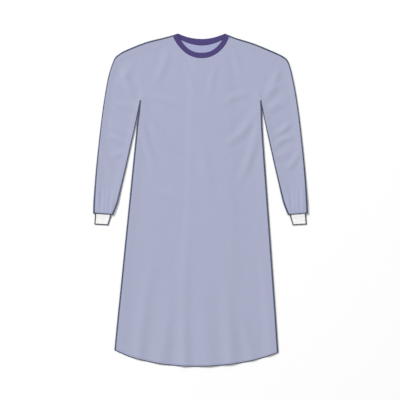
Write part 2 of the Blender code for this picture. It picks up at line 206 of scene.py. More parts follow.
BACK_CREASES = (
    (-0.236, -0.590, -0.176, -0.200, -0.010, 0.018, 0.0009, 1),
    (-0.128, -0.610, -0.098, -0.300, 0.008, 0.022, 0.0008, 1),
    (0.120, -0.610, 0.096, -0.220, 0.010, 0.020, 0.0009, 1),
    (0.224, -0.592, 0.168, -0.120, -0.012, 0.017, 0.0009, 1),
    (-0.206, 0.330, -0.092, 0.130, 0.014, 0.013, 0.0009, 0),
    (0.208, 0.322, 0.106, 0.120, -0.016, 0.013, 0.0009, 0),
    (-0.180, 0.060, -0.060, -0.060, -0.010, 0.016, 0.0007, 0),
    (0.060, 0.020, 0.186, -0.110, 0.012, 0.016, 0.0008, 0),
    (-0.150, 0.560, -0.180, 0.420, 0.008, 0.012, 0.0007, 0),
    (0.150, 0.560, 0.182, 0.410, -0.008, 0.012, 0.0007, 0),
)
SLEEVE_CREASES = (
    (0.236, 0.400, 0.300, 0.500, -0.010, 0.011, 0.0022, 0),
    (0.238, 0.372, 0.326, 0.440, 0.012, 0.011, 0.0026, 0),
    (0.246, 0.330, 0.330, 0.360, 0.010, 0.012, 0.0022, 0),
    (0.262, 0.236, 0.344, 0.300, -0.010, 0.010, 0.0024, 0),
    (0.272, 0.200, 0.362, 0.238, 0.010, 0.010, 0.0028, 0),
    (0.280, 0.168, 0.340, 0.162, 0.006, 0.010, 0.0018, 0),
    (0.374, 0.190, 0.316, 0.110, 0.008, 0.010, 0.0020, 0),
    (0.250, 0.520, 0.316, 0.430, -0.010, 0.013, 0.0015, 0),
    (0.344, 0.060, 0.352, -0.056, 0.002, 0.0050, 0.0012, 0),
    (0.362, 0.050, 0.366, -0.056, -0.002, 0.0046, 0.0014, 0),
    (0.380, 0.066, 0.384, -0.056, 0.002, 0.0050, 0.0012, 0),
    (0.326, 0.030, 0.338, -0.056, -0.002, 0.0044, 0.0010, 0),
)
SLEEVE_BACK_CREASES = (
    (0.246, 0.380, 0.322, 0.460, 0.010, 0.012, 0.0008, 0),
    (0.264, 0.250, 0.350, 0.270, -0.008, 0.012, 0.0009, 0),
    (0.276, 0.180, 0.356, 0.150, 0.006, 0.011, 0.0008, 0),
    (0.350, 0.060, 0.356, -0.050, 0.002, 0.0060, 0.0006, 0),
)
TROUGH_SHARE = 0.32
TROUGH_PLACE = 2.1
CREASE_TAPER = 1.3
CREASE_EDGE = 0.012
HEM_WAVE_REACH = 0.2
SLEEVE_SEAM_START = 0.3

# Knit: rows of loops, ribs, and the fineness and thickness of cuff and binding
KNIT_PLACE = "knit_place"
LOOP_SLANT = 1.3
CUFF_COURSE = 0.0013
BINDING_COURSE = 0.0012
CUFF_RIB = 0.0027
CUFF_RIB_DEPTH = 0.00036
CUFF_STEP = 0.0028
CUFF_RIB_POINTS = 6
CUFF_RIB_POWER = 0.8
BINDING_RIB = 0.0025
BINDING_RIB_DEPTH = 0.00016
BINDING_THICK = 0.0015
BINDING_POINTS = 20
BINDING_FLATNESS = 0.42
BINDING_RIB_STATIONS = 6.0
BINDING_BLUR = 3
NECK_STATIONS = 85
TURN_STATIONS = 13

# Stitches: a bar's shape along and across it, overcast edges, and rows of stitches
STITCH_PITCH = 0.0034
STITCH_LENGTH = 0.0027
STITCH_WIDTH = 0.0007
STITCH_HEIGHT = 0.00028
STITCH_SINK_SHARE = 0.4
STITCH_CROWN = 0.7
STITCH_SIZES = (0.55, 1.0, 0.55)
STITCH_LIFTS = (0.15, 1.0, 0.15)
OVERCAST_PITCH = 0.00125
OVERCAST_SLANT = 0.0012
OVERCAST_REACH = 0.0036
OVERCAST_SIZE = 1.7
OVERCAST_END_SIZE = 0.9
OVERCAST_END_LIFT = 0.5
EDGE_REACH = 0.0034
EDGE_NEAR = 0.0003
CUFF_TURN_POINTS = 7
CUFF_SEAM_STEPS = (-6, 0, 2, 4, 6, 8, 14)
BINDING_STITCH_ROWS = (0.09, 0.91)
BINDING_STITCH_RISE = 0.92
OPENING_STITCH_INSET = 0.0080

# Colours
GOWN_COLOUR = (0.391, 0.412, 0.556)
INSIDE_COLOUR = (0.366, 0.392, 0.590)
BINDING_COLOUR = (0.084, 0.060, 0.219)
CUFF_COLOUR = (0.99, 0.99, 0.985)
THREAD_COLOUR = (0.046, 0.061, 0.110)
BINDING_THREAD = (0.050, 0.035, 0.130)
FLOOR_COLOUR = (0.98, 0.98, 0.98)

# Looks: noise scale and detail, ramp from a low to a high factor with the colour's shade at each,
# bump distance and strength, and shares in which ramps are blended
DOT_PITCH = 0.0026
DOT_GAIN = 1.6
DOT_TOP = 0.9
DOT_RAMP = (0.35, DOT_TOP, 1.01, 0.93)
DOT_BUMP = (0.00025, 0.6)
CLOUD = (46.0, 4.0, 0.55)
CLOUD_RAMP = (0.25, 0.75, 0.955, 1.035)
CLOUD_BUMP = (0.0012, 0.25)
PATCH = (7.0, 2.0)
PATCH_RAMP = (0.30, 0.70, 0.975, 1.025)
FIBRE = (1400.0, 3.0, 0.6)
FIBRE_RAMP = (0.35, 0.70, 0.95, 1.05)
FIBRE_BUMP = (0.00016, 0.5)
PATCH_SHARE = 0.5
FIBRE_SHARE = 0.35
DOT_SHARE = 0.4
FLUFF = (900.0, 3.0, 0.6)
FLUFF_RANGE = (0.35, 0.7)
FLUFF_BUMP = (0.0002, 0.5)
YARN = (160.0, 2.0)
YARN_RANGE = (0.3, 0.7)
LOOP_LIFT = 0.5
# Painted shade in the knits: how much darker the gaps between loops are, in multiples of the knit's
# contrast
LOOP_GAP_SHADE = 2.5
KNIT_SHARE = 0.4
LOOP_BUMP = (0.00022, 0.7)
TWIST = (1800.0, 1.0)
TWIST_RAMP = (0.3, 0.7, 0.85, 1.15)
TWIST_BUMP = (0.0001, 0.5)
# Contrast of each knit: its random yarn tone, and the painted shade in its loop gaps
CUFF_CONTRAST = 0.014
BINDING_CONTRAST = 0.12

# Roughness of the shaders, sheen and specular level
CLOTH_ROUGHNESS = 0.85
CUFF_ROUGHNESS = 0.9
BINDING_ROUGHNESS = 0.75
THREAD_ROUGHNESS = 0.8
FLOOR_ROUGHNESS = 0.9
SHEEN_ROUGHNESS = 0.5
CLOTH_GLOSS = (0.12, 0.25)
KNIT_GLOSS = (0.15, 0.2)
THREAD_GLOSS = (0.0, 0.15)

# Floor and soft light
FLOOR_SIZE = 30.0
FLOOR_DROP = 0.0002
WORLD_LIGHT = 0.42
LIGHTS = (
    # name, place, size, power
    ("key", (-10.4, 9.6, 10.8), 4.8, 2700.0),
    ("fill", (8.0, -6.4, 12.8), 8.0, 390.0),
)

# Camera straight above the middle of the picture, whose width takes in 1.5 m of the surface
CAMERA_CENTRE = (-0.0019, 0.0002)
CAMERA_HEIGHT = 5.0
PICTURE_WIDTH = 1.5
SENSOR_WIDTH = 36.0


def mix(low, high, share):
    """The value a share of the way from low to high."""
    return low + (high - low) * share


def smooth(share):
    """A share from 0 to 1, made soft at both ends."""
    share = np.clip(share, 0.0, 1.0)
    return share * share * (3.0 - 2.0 * share)


def between(value, start, end):
    """0 up to the start, 1 from the end on, soft between them."""
    return smooth((value - start) / (end - start))


def fade(distance, reach):
    """1 at distance 0, falling softly to 0 at the reach."""
    return between(np.abs(distance), reach, 0.0)


def soft_curve(keys, values):
    """A smooth curve through a table: cubic between its rows."""
    keys = np.asarray(keys, float)
    values = np.asarray(values, float)
    slopes = np.gradient(values, keys)

    def read(at):
        at = np.clip(at, keys[0], keys[-1])
        low = np.clip(np.searchsorted(keys, at, side="right") - 1, 0, len(keys) - 2)
        step = keys[low + 1] - keys[low]
        t = (at - keys[low]) / step
        rise = smooth(t)
        start = t * (1.0 - t) ** 2 * step * slopes[low]
        end = t * t * (t - 1.0) * step * slopes[low + 1]
        return mix(values[low], values[low + 1], rise) + start + end

    return read


def read_table(table, numbers):
    """The rows of a table at row numbers that may lie between its rows."""
    return np.array([soft_curve(np.arange(len(table)), column)(numbers) for column in table.T]).T


def run_of(line):
    """Length along a line of points, up to each of them."""
    return np.append(0.0, np.cumsum(np.linalg.norm(np.diff(line, axis=0), axis=1)))


def unit(ways):
    """Ways brought to a length of 1."""
    return ways / np.linalg.norm(ways, axis=-1, keepdims=True)


SIDE_HALF = soft_curve(*zip(*BODY_SIDE))
SHOULDER_TOP = soft_curve(*zip(*SHOULDER_LINE))


def neck_curve(half, point, low, power, roundness=0.0):
    """A neck curve, read by angle: 0 degrees is its lowest point, 90 the shoulder end."""
    def read(angle):
        share = np.sin(np.radians(angle))
        rise = mix(np.abs(share) ** power, 1.0 - np.cos(np.radians(angle)), roundness)
        return half * share, mix(low, point, rise)

    return read


front_seam = neck_curve(NECK_HALF, NECK_POINT, FRONT_NECK_LOW, FRONT_NECK_POWER, FRONT_NECK_ROUND)
front_edge = neck_curve(EDGE_HALF, EDGE_POINT, FRONT_EDGE_LOW, FRONT_EDGE_POWER, FRONT_EDGE_ROUND)
back_seam = neck_curve(NECK_HALF, NECK_POINT, BACK_NECK_LOW, BACK_NECK_POWER)
back_edge = neck_curve(EDGE_HALF, EDGE_POINT, BACK_EDGE_LOW, BACK_EDGE_POWER)

INNER_EDGE = float(front_seam(INNER_EDGE_ANGLE)[0])
OUTER_EDGE = float(front_seam(OUTER_EDGE_ANGLE)[0])
STEP_START = float(front_seam(STEP_START_ANGLE)[0])
STEP_TOP = float(front_seam(STEP_TOP_ANGLE)[0])


def front_underside(place):
    """Height of the front's underside: it lies over one or two back layers."""
    left = smooth((OUTER_EDGE - place) / (OUTER_EDGE - STEP_START))
    right = smooth((place - STEP_TOP) / (STEP_END - STEP_TOP))
    return mix(2.0 * LAYER, LOOSE_LAYER, np.maximum(left, right))


def inner_underside(place):
    """Height of the inner back panel's underside: it steps over the outer one."""
    return LAYER * smooth((place - STEP_START) / (OUTER_EDGE - STEP_START))


def corner_lift(x, y):
    """How much the cloth beside the neck is raised towards its corner on the shoulder."""
    return fade(np.hypot(NECK_HALF - np.abs(x), NECK_POINT - y), LIFT_REACH)


def neck_height(x, y):
    """Height of the front's outer face along the neck."""
    return mix(front_underside(x) + WALL, 2.0 * FOLD_RADIUS, corner_lift(x, y))


def floor_level(place):
    return np.zeros_like(place)


def lean(y):
    """The skirt lies slightly to one side below the armpits."""
    return -SKIRT_LEAN * np.maximum(0.0, ARMPIT[1] - y) - SKIRT_SHIFT * between(y, *SHIFT_LEVELS)


def as_laid(points):
    """Points moved to where they lie, a little unevenly from side to side."""
    x, y, z = np.asarray(points).T
    by_x = by_y = 0.0
    for move_x, move_y, levels, *across in LIE:
        share = between(y, *levels)
        for places in across:
            share = share * between(x, *places)
        by_x = by_x + move_x * share
        by_y = by_y + move_y * share
    return np.stack([x + by_x, y + by_y, z], axis=1).tolist()


def relief(x, y, creases):
    """Soft ridges with shallow troughs beside them, one for each row of a crease table."""
    total = np.zeros_like(x)
    for start_x, start_y, end_x, end_y, bow, width, height, runs_off in creases:
        length = math.hypot(end_x - start_x, end_y - start_y)
        run_x, run_y = (end_x - start_x) / length, (end_y - start_y) / length
        along = np.clip(((x - start_x) * run_x + (y - start_y) * run_y) / length, 0.0, 1.0)
        off = (y - start_y) * run_x - (x - start_x) * run_y - bow * np.sin(math.pi * along)
        taper = np.cos(0.5 * math.pi * along) if runs_off else np.sin(math.pi * along)
        crest = np.exp(-(off / width) ** 2)
        trough = np.exp(-((np.abs(off) - TROUGH_PLACE * width) / width) ** 2)
        total += height * taper ** CREASE_TAPER * (crest - TROUGH_SHARE * trough)
    return total


def hem_relief(distance):
    """The turned-up cloth stands a little proud, and its stitches sink into it."""
    height = HEM_THICK * smooth((HEM_DEPTH - distance) / HEM_DEPTH_END)
    return height - STITCH_SINK * np.exp(-((distance - HEM_STITCH_INSET) / STITCH_SPREAD) ** 2)


def spaced(start, end, step):
    """Even places from start to end, about a step apart."""
    return np.linspace(start, end, max(2, int(round(abs(end - start) / step)) + 1))


def shoulder_part(angle):
    """0 along the neck seam, 1 on the shoulder, soft at the neck's corner."""
    return float(smooth((abs(angle) - CORNER_START) / (90.0 - CORNER_START)))


def panel_columns(seam, low, high):
    """Columns across a panel from low to high: place at the top, top level, share of shoulder."""
    columns = []
    for angle in np.linspace(-90.0, 90.0, NECK_COLUMNS):
        place, top = seam(angle)
        columns.append((float(place), float(top), shoulder_part(angle)))
    for place in spaced(NECK_HALF + COLUMN_STEP, SHOULDER[0] - SIDE_CLEAR, COLUMN_STEP):
        for sign in (-1, 1):
            columns.append((sign * place, float(SHOULDER_TOP(place)), 1.0))
    for edge in (low, high):
        for inset in EDGE_INSETS:
            place = edge + inset if edge == low else edge - inset
            if abs(edge) < NECK_HALF:
                top = seam(math.degrees(math.asin(place / NECK_HALF)))[1]
                columns.append((place, float(top), 0.0))
    columns = sorted(c for c in columns if low - SLACK <= c[0] <= high + SLACK)
    kept = [columns[0]]
    for column in columns[1:]:
        if column[0] - kept[-1][0] > LEAST_COLUMN_STEP:
            kept.append(column)
    return np.array(kept).T


def panel_levels():
    """Levels of the rows of a panel: fine at the hem, even above it."""
    hem = [HEM_LEVEL + inset for inset in HEM_ROWS]
    skirt = list(spaced(hem[-1], ARMPIT[1], ROW_STEP))[1:]
    chest = list(spaced(ARMPIT[1], SHOULDER[1] - TOP_CLEAR, ROW_STEP))[1:]
    return np.array(hem + skirt + chest)


def fold_line():
    """Turn of a fold from its rim to its flat, in radians."""
    return np.linspace(0.0, 0.5 * math.pi, FOLD_STEPS + 1)


def panel_face(height, upper, seam, low, high, sides, depth, creases):
    """Points over one face of a panel, lying depth under its outer face."""
    edge, shoulder = SHOULDER
    turns = fold_line()
    ones = np.ones(len(turns))
    columns = panel_columns(seam, low, high)
    count = columns.shape[1]
    columns = np.vstack([columns, np.full(count, 0.5 * math.pi), np.zeros(count)])
    for sign in sides:
        fold = np.vstack([sign * edge * ones, shoulder * ones, ones, turns[::-sign], ones])
        columns = np.hstack([fold, columns] if sign < 0 else [columns, fold])
    places, tops, on_shoulder, turn, at_side = columns[:, None, :]
    rows = panel_levels()
    level = np.append(rows, shoulder * ones)[:, None]
    up = np.append(np.full(len(rows), 0.5 * math.pi), turns[::-1])[:, None]
    at_top = np.append(np.zeros(len(rows)), ones)[:, None]

    rise = np.clip((level - ARMPIT[1]) / (shoulder - ARMPIT[1]), 0.0, 1.0)
    half = np.where(level <= ARMPIT[1], SIDE_HALF(level),
                    mix(ARMPIT[0], edge, rise) - ARMHOLE_BOW * np.sin(math.pi * rise))
    radius = FOLD_RADIUS
    bend = radius - depth
    across = places / edge
    folded = smooth((ARMPIT[1] - level) / ARMPIT_BLEND)
    inset = (radius - mix(radius, bend, folded) * np.cos(turn)) * at_side
    x = lean(level) + across * half - np.sign(across) * inset
    drop = HEM_DIP * (1.0 - np.abs(across) ** HEM_POWER)
    drop = drop * np.clip(1.0 - (level - HEM_LEVEL) / HEM_REACH, 0.0, 1.0) ** 2
    inset = (radius - mix(radius, bend, on_shoulder) * np.cos(up)) * at_top
    y = level + (tops - shoulder) * rise ** TOP_SHAPE_POWER - drop - inset

    from_side = (1.0 - np.abs(across)) * half
    from_top = np.maximum(0.0, tops - y)
    lift = np.maximum(fade(np.hypot(from_side, np.maximum(0.0, level - ARMPIT[1])), LIFT_REACH),
                      np.where(np.abs(places) >= NECK_HALF, fade(from_top, LIFT_REACH),
                               corner_lift(places, y)))
    side_calm = smooth(from_side / CREASE_EDGE)
    calm = mix(side_calm * smooth(from_top / CREASE_EDGE), 1.0,
               fade(level - HEM_LEVEL, HEM_WAVE_REACH) * side_calm)
    base = height(places)
    wave = relief(x, y, creases)
    if upper:
        hem = hem_relief(level - HEM_LEVEL)
        flat = mix(base + WALL, 2.0 * radius, lift) + wave * calm + hem - depth
    else:
        flat = base + np.maximum(wave, 0.0) * calm + depth
        bend = -bend
    z = np.where(at_side > 0, mix(flat, radius + bend * np.sin(turn), folded), flat)
    z = np.where(at_top > 0, mix(z, radius + bend * np.sin(up), on_shoulder), z)
    return np.stack([x, y, z], axis=2)


def new_mesh(name, points, faces):
    """A smooth mesh whose points are moved to where they lie and whose faces look outwards."""
    mesh = bpy.data.meshes.new(name)
    mesh.from_pydata(as_laid(points), [], faces)
    shape = bmesh.new()
    shape.from_mesh(mesh)
    bmesh.ops.recalc_face_normals(shape, faces=shape.faces)
    shape.to_mesh(mesh)
    shape.free()
    mesh.shade_smooth()
    return mesh


def link(data, *materials):
    """An object in the scene for a mesh, lamp or camera, under its name."""
    item = bpy.data.objects.new(data.name, data)
    bpy.context.scene.collection.objects.link(item)
    for material in materials:
        data.materials.append(material)
    return item


def keep_places(mesh, places):
    """Keeps for the knit's pattern each point's rib number and how far along the rib it is."""
    layer = mesh.attributes.new(KNIT_PLACE, "FLOAT_VECTOR", "POINT")
    layer.data.foreach_set("vector", places.ravel())


def grid_faces(index, spans):
    """Squares between the rows of a grid of point numbers, over a number of columns."""
    after = np.roll(index, -1, axis=1)
    return np.stack([index[:-1, :spans], after[:-1, :spans], after[1:, :spans],
                     index[1:, :spans]], axis=2).reshape(-1, 4)


def cloth_wall(name, outer, inner, closed, material, lining=None, places=None):
    """A thin wall between two faces given as matching rows of points. Closed rows make a tube."""
    rows, count = outer.shape[:2]
    points = np.concatenate([outer.reshape(-1, 3), inner.reshape(-1, 3)])
    index = np.arange(rows * count).reshape(rows, count)
    spans = count if closed else count - 1
    quads = grid_faces(index, spans)
    shift = rows * count
    faces = [quads, quads[:, ::-1] + shift]
    first, last = [(line[:spans], np.roll(line, -1)[:spans]) for line in (index[0], index[-1])]
    rims = [first[::-1], last]
    if not closed:
        rims += [(index[:-1, 0], index[1:, 0]), (index[1:, -1], index[:-1, -1])]
    for start, end in rims:
        faces.append(np.stack([start, end, end + shift, start + shift], axis=1))
    mesh = new_mesh(name, points, np.concatenate(faces).tolist())
    mesh.set_sharp_from_angle(angle=math.radians(SHARP_ANGLE))
    if places is not None:
        keep_places(mesh, np.concatenate([places, places]))
    if lining is None:
        return link(mesh, material)
    piece = link(mesh, material, lining)
    for polygon in mesh.polygons[len(quads):2 * len(quads)]:
        polygon.material_index = 1
    return piece


def sleeve_ring(outer, inner, radius, middle, bow, depth):
    """A flattened ring of a sleeve: over the top from the outer to the inner fold, then below."""
    length = math.hypot(outer[0] - inner[0], outer[1] - inner[1])
    turns = fold_line()
    arc = radius - (radius - depth) * np.cos(turns)
    arc_rise = (radius - depth) * np.sin(turns)
    flat = np.linspace(0.0, 1.0, SLEEVE_FLAT_POINTS + 2)[1:-1]
    flat = radius + flat * (length - 2.0 * radius)
    from_fold = np.minimum(flat, length - flat) - radius
    top = mix(middle, 2.0 * radius, fade(from_fold, LIFT_REACH)) - depth
    down = np.concatenate([arc, flat, length - arc[::-1]])
    over = np.concatenate([radius + arc_rise, top, radius + arc_rise[::-1]])
    under = np.concatenate([radius - arc_rise, flat * 0.0 + depth, radius - arc_rise[::-1]])
    ring_down = np.concatenate([down, down[-2:0:-1]])
    ring_z = np.concatenate([over, under[-2:0:-1]])
    share = 1.0 - ring_down / length
    x = mix(inner[0], outer[0], share) - bow * ARMHOLE_BOW * np.sin(math.pi * np.clip(share, 0, 1))
    y = mix(inner[1], outer[1], share)
    upper = np.concatenate([np.ones(len(down)), np.zeros(len(down) - 2)])
    edge = np.minimum(ring_down, length - ring_down)
    return x, y, ring_z, upper, edge


def sleeve_stations():
    """Ring numbers along the sleeve, read between the rows of its table, fine at its end."""
    table = np.array(SLEEVE_FOLDS)
    middle = 0.5 * (table[:, 0:2] + table[:, 2:4])
    run = run_of(middle)
    end = run[-1]
    even = spaced(0.0, end - HEM_ROWS[-1], RING_STEP)
    places = np.append(even, [end - inset for inset in HEM_ROWS[::-1][1:]])
    numbers = np.interp(places, run, np.arange(len(table)))
    return numbers, end - places


def sleeve_face(sign, depth):
    """Rings of points round a sleeve, lying depth under its outer face."""
    numbers, from_end = sleeve_stations()
    folds = read_table(np.array(SLEEVE_FOLDS), numbers)
    rows = []
    for number, distance, fold in zip(numbers, from_end, folds):
        outer_x, outer_y, inner_x, inner_y, radius, middle = fold
        bow = float(fade(number, BOW_RINGS))
        gap = SEAM_GAP if number == 0 else 0.0
        x, y, z, upper, edge = sleeve_ring((outer_x + gap, outer_y), (inner_x + gap, inner_y),
                                           radius, middle, bow, depth)
        calm = smooth(edge / CREASE_EDGE)
        seam_calm = smooth(number + SLEEVE_SEAM_START)
        front = (relief(x, y, SLEEVE_CREASES) * seam_calm + hem_relief(distance)) * calm
        back = np.maximum(0.0, relief(x, y, SLEEVE_BACK_CREASES)) * seam_calm * calm
        z = z + np.where(upper > 0, front, back)
        rows.append(np.stack([sign * x, y, z], axis=1))
    return np.array(rows)


def stadium(width, radius, flat_points):
    """Points round a flat oval section, with the way out of it at each."""
    half = 0.5 * width - radius
    turns = np.linspace(0.5 * math.pi, -0.5 * math.pi, CUFF_TURN_POINTS + 2)[1:-1]
    cos, sin = np.cos(turns), np.sin(turns)
    flat = np.linspace(-half, half, flat_points)
    level = np.zeros(flat_points)
    ends = np.full(CUFF_TURN_POINTS, half)
    centre = np.concatenate([flat, ends, flat[::-1], -ends])
    out_across = np.concatenate([level, cos, level, -cos])
    out_rise = np.concatenate([level + 1.0, sin, level - 1.0, -sin])
    return centre + radius * out_across, radius * out_rise, out_across, out_rise


def cuff_face(sign, depth, ribbed=True):
    """Rows of points round a cuff, and each point's place in the knit."""
    table = np.array(CUFF_FOLDS)
    run = run_of(table[:, 0:2])
    alongs = spaced(0.0, run[-1], CUFF_STEP)
    folds = read_table(table, np.interp(alongs, run, np.arange(len(table))))
    width = math.hypot(table[0, 0] - table[0, 2], table[0, 1] - table[0, 3])
    ribs = round(width / CUFF_RIB)
    flat_points = ribs * CUFF_RIB_POINTS + 1
    rows, places = [], []
    for along, (outer_x, outer_y, inner_x, inner_y, radius, floor) in zip(alongs, folds):
        length = math.hypot(outer_x - inner_x, outer_y - inner_y)
        across, rise, out_across, out_rise = stadium(length, radius - CUFF_RIB_DEPTH, flat_points)
        rib = ribs * across / (length - 2.0 * radius)
        places.append(np.stack([rib, across * 0.0 + along, across * 0.0], axis=1))
        wave = 0.5 + 0.5 * np.cos(2.0 * math.pi * rib) if ribbed else 1.0
        out = CUFF_RIB_DEPTH * wave ** CUFF_RIB_POWER - depth
        across = across + out_across * out
        rise = rise + out_rise * out
        way_x, way_y = (outer_x - inner_x) / length, (outer_y - inner_y) / length
        x = 0.5 * (outer_x + inner_x) + way_x * across
        y = 0.5 * (outer_y + inner_y) + way_y * across
        rows.append(np.stack([sign * x, y, max(0.0, floor) + radius + rise], axis=1))
    return np.array(rows), np.array(places)


def binding_stations():
    """Seam point, edge point and way out of the cloth, from the inner back end to the outer."""
    whole = np.linspace(-LAST_NECK_ANGLE, LAST_NECK_ANGLE, NECK_STATIONS)
    middle = 0.5 * BINDING_THICK

    def flat(angles, seam, edge, height, out):
        rows = []
        for angle in angles:
            points = []
            for x, y in (seam(angle), edge(angle)):
                points.append((float(x), float(y), float(height(x, y))))
            rows.append((*points, (0.0, 0.0, out)))
        return rows

    def turn(sign, turns):
        seam = np.array((sign * NECK_HALF, NECK_POINT))
        edge = np.array((sign * EDGE_HALF, EDGE_POINT))
        along = unit(edge - seam)
        out = np.array((sign * along[1], -sign * along[0]))
        bend = FOLD_RADIUS - 0.5 * WALL
        rows = []
        for angle in np.radians(turns):
            back = out * (bend * math.cos(angle) - FOLD_RADIUS)
            z = FOLD_RADIUS + bend * math.sin(angle)
            way = (out[0] * math.cos(angle), out[1] * math.cos(angle), math.sin(angle))
            rows.append(((*(seam + back), z), (*(edge + back), z), way))
        return rows

    turns = np.linspace(-90, 90, TURN_STATIONS)
    rows = flat(whole[whole <= INNER_EDGE_ANGLE][::-1], back_seam, back_edge,
                lambda x, y: inner_underside(x) + middle, -1.0)
    rows += turn(-1, turns)
    rows += flat(whole, front_seam, front_edge, lambda x, y: neck_height(x, y) - 0.5 * WALL, 1.0)
    rows += turn(1, turns[::-1])
    rows += flat(whole[whole >= OUTER_EDGE_ANGLE][::-1], back_seam, back_edge,
                 lambda x, y: middle, -1.0)
    return np.array(rows)


def blurred(values, reach):
    """Rows of values averaged softly with their neighbours, ends kept."""
    kernel = np.hanning(2 * reach + 3)[1:-1]
    kernel = kernel / kernel.sum()
    padded = np.concatenate([np.repeat(values[:1], reach, 0), values,
                             np.repeat(values[-1:], reach, 0)])
    return np.array([np.tensordot(kernel, padded[i:i + len(kernel)], 1)
                     for i in range(len(values))])


def binding_rows():
    """Stations spaced evenly by the rib, soft at the shoulders' turns."""
    rows = binding_stations()
    flat = rows.reshape(len(rows), 9)
    middle = 0.5 * (rows[:, 0] + rows[:, 1])
    run = run_of(middle)
    places = spaced(0.0, run[-1], BINDING_RIB / BINDING_RIB_STATIONS)
    even = np.stack([np.interp(places, run, column) for column in flat.T], axis=1)
    return blurred(even, BINDING_BLUR).reshape(-1, 3, 3), places


def neck_binding(rows, places, material):
    """The binding: a flat oval section with fine ribs across it, led along its stations."""
    turns = np.linspace(0.0, 2.0 * math.pi, BINDING_POINTS, endpoint=False)
    cos = np.sign(np.cos(turns)) * np.abs(np.cos(turns)) ** BINDING_FLATNESS
    sin = np.sign(np.sin(turns)) * np.abs(np.sin(turns)) ** BINDING_FLATNESS
    points, knit_places = [], []
    for (seam, edge, way), place in zip(rows, places):
        way = unit(way)
        centre = 0.5 * (seam + edge)
        half = 0.5 * (edge - seam)
        rib = BINDING_RIB_DEPTH * math.cos(2.0 * math.pi * place / BINDING_RIB)
        thick = 0.5 * BINDING_THICK + rib - BINDING_RIB_DEPTH
        points.append(centre + cos[:, None] * half + sin[:, None] * way * thick)
        across = cos * np.linalg.norm(half)
        knit_places.append(np.stack([across * 0.0 + place / BINDING_RIB, across, across * 0.0],
                                    axis=1))
    points = np.array(points)
    count = BINDING_POINTS
    index = np.arange(len(points) * count).reshape(len(points), count)
    quads = grid_faces(index, count)
    ends = [index[0].tolist(), index[-1][::-1].tolist()]
    mesh = new_mesh("neck_binding_knit", points.reshape(-1, 3), quads.tolist() + ends)
    keep_places(mesh, np.concatenate(knit_places))
    return link(mesh, material)


def binding_stitches(rows):
    """Bars for the rows of stitches near both edges of the binding, on its two faces."""
    seam, edge, way = rows[:, 0], rows[:, 1], unit(rows[:, 2])
    bars = []
    for share in BINDING_STITCH_ROWS:
        for face in (1.0, -1.0):
            rise = face * 0.5 * BINDING_THICK * BINDING_STITCH_RISE
            bars += running_stitches(mix(seam, edge, share) + way * rise, face * way)
    return bars


def thread_mesh(name, bars, material):
    """Short bars of thread joined in one mesh. A bar is points along it, ways out, and its side."""
    points, faces = [], []
    for spots, ways, side, sizes, lifts in bars:
        first = len(points)
        for spot, way, size, lift in zip(spots, ways, sizes, lifts):
            edge = side * 0.5 * STITCH_WIDTH * size
            low = spot - way * STITCH_HEIGHT * STITCH_SINK_SHARE
            high = spot + way * STITCH_HEIGHT * lift
            crown = edge * STITCH_CROWN
            points += [low + edge, high + crown, high - crown, low - edge]
        last = first + 4 * (len(spots) - 1)
        for start in range(first, last, 4):
            for corner in range(4):
                other = (corner + 1) % 4
                faces.append((start + corner, start + other, start + 4 + other,
                              start + 4 + corner))
        faces.append((first, first + 3, first + 2, first + 1))
        faces.append((last, last + 1, last + 2, last + 3))
    return link(new_mesh(name, points, faces), material)


def read_line(line, run, places):
    """Points of a line at given lengths along it."""
    return np.stack([np.interp(places, run, line[:, axis]) for axis in range(3)], axis=1)


def running_stitches(line, out):
    """Bars for a row of stitches along a line of points on the cloth, out being out of it."""
    run = run_of(line)
    out = np.broadcast_to(np.array(out, float), line.shape)
    bars = []
    for centre in np.arange(STITCH_PITCH, run[-1] - STITCH_PITCH, STITCH_PITCH):
        marks = centre + np.array((-0.5, 0.0, 0.5)) * STITCH_LENGTH
        spots = read_line(line, run, marks)
        ways = read_line(out, run, marks)
        side = np.cross(ways[1], unit(spots[2] - spots[0]))
        bars.append((spots, ways, side, STITCH_SIZES, STITCH_LIFTS))
    return bars


def overcast_stitches(section):
    """Bars of thread wrapped round a seam's edge, evenly along it.

    section holds, for each place along the seam, points round the edge from below to above.
    """
    count = section.shape[1]
    rim = section[:, count // 2]
    run = run_of(rim)
    sizes, lifts = np.full(count, OVERCAST_SIZE), np.ones(count)
    sizes[[0, -1]] *= OVERCAST_END_SIZE
    lifts[[0, -1]] = OVERCAST_END_LIFT
    bars = []
    for centre in np.arange(0.5 * OVERCAST_PITCH, run[-1], OVERCAST_PITCH):
        marks = centre + OVERCAST_SLANT * np.linspace(-0.5, 0.5, count)
        spots = np.array([read_line(section[:, number], run, marks[number:number + 1])[0]
                          for number in range(count)])
        ways = unit(spots - 0.5 * (spots[1] + spots[-2]))
        ways[0], ways[-1] = ways[1], ways[-2]
        ends = read_line(rim, run, centre + np.array((-0.5, 0.5)) * OVERCAST_PITCH)
        bars.append((spots, ways, unit(ends[1] - ends[0]), sizes, lifts))
    return bars


def in_from_edge(rows, distance):
    """Points on a face at a distance in from its first row."""
    steps = np.linalg.norm(np.diff(rows, axis=0), axis=2)
    run = np.concatenate([steps[:1] * 0.0, np.cumsum(steps, axis=0)])
    return np.array([[np.interp(distance, run[:, column], rows[:, column, axis])
                      for axis in range(3)] for column in range(rows.shape[1])])


def edge_section(below, above, closed):
    """Points round a cloth's free edge, from one face to the other.

    below and above are the rows of the two faces from the edge inwards.
    """
    near = [in_from_edge(rows, EDGE_NEAR) for rows in (below, above)]
    far = [in_from_edge(rows, EDGE_REACH) for rows in (below, above)]
    rim = 0.5 * (below[0] + above[0])
    section = np.stack([far[0], near[0], rim, near[1], far[1]], axis=1)
    return np.concatenate([section, section[:1]]) if closed else section


